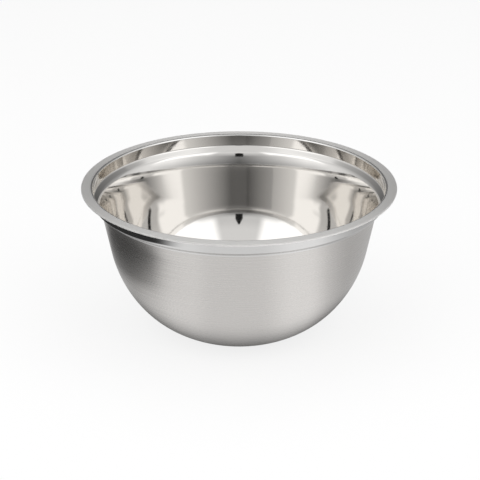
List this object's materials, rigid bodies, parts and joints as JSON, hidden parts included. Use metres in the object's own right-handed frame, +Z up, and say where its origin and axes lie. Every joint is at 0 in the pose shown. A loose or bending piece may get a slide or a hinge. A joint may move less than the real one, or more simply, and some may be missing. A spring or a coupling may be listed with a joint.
{
  "type": "mixing bowl",
  "caption": "Deep round steel mixing bowl with a stepped collar, a flat rolled lip and a flat base, bright inside and satin outside.",
  "frame": {"origin": "centre of the flat base, on the surface that the bowl stands on", "axes": "+Z up along the bowl's axis of revolution; X and Y lie in the table"},
  "size_m": [0.24, 0.24, 0.1165],
  "materials": {
    "satin_steel": "satin brushed round the outside, mirror polished inside",
    "polished_steel": "polished, with fine circular lines"
  },
  "bodies": {
    "root": {"base": "satin_steel", "lower_bowl": "satin_steel", "upper_bowl": "satin_steel", "side_wall": "satin_steel", "step": "satin_steel", "collar": "satin_steel", "lip": "polished_steel", "rolled_edge": "polished_steel"}
  },
  "joints": []
}
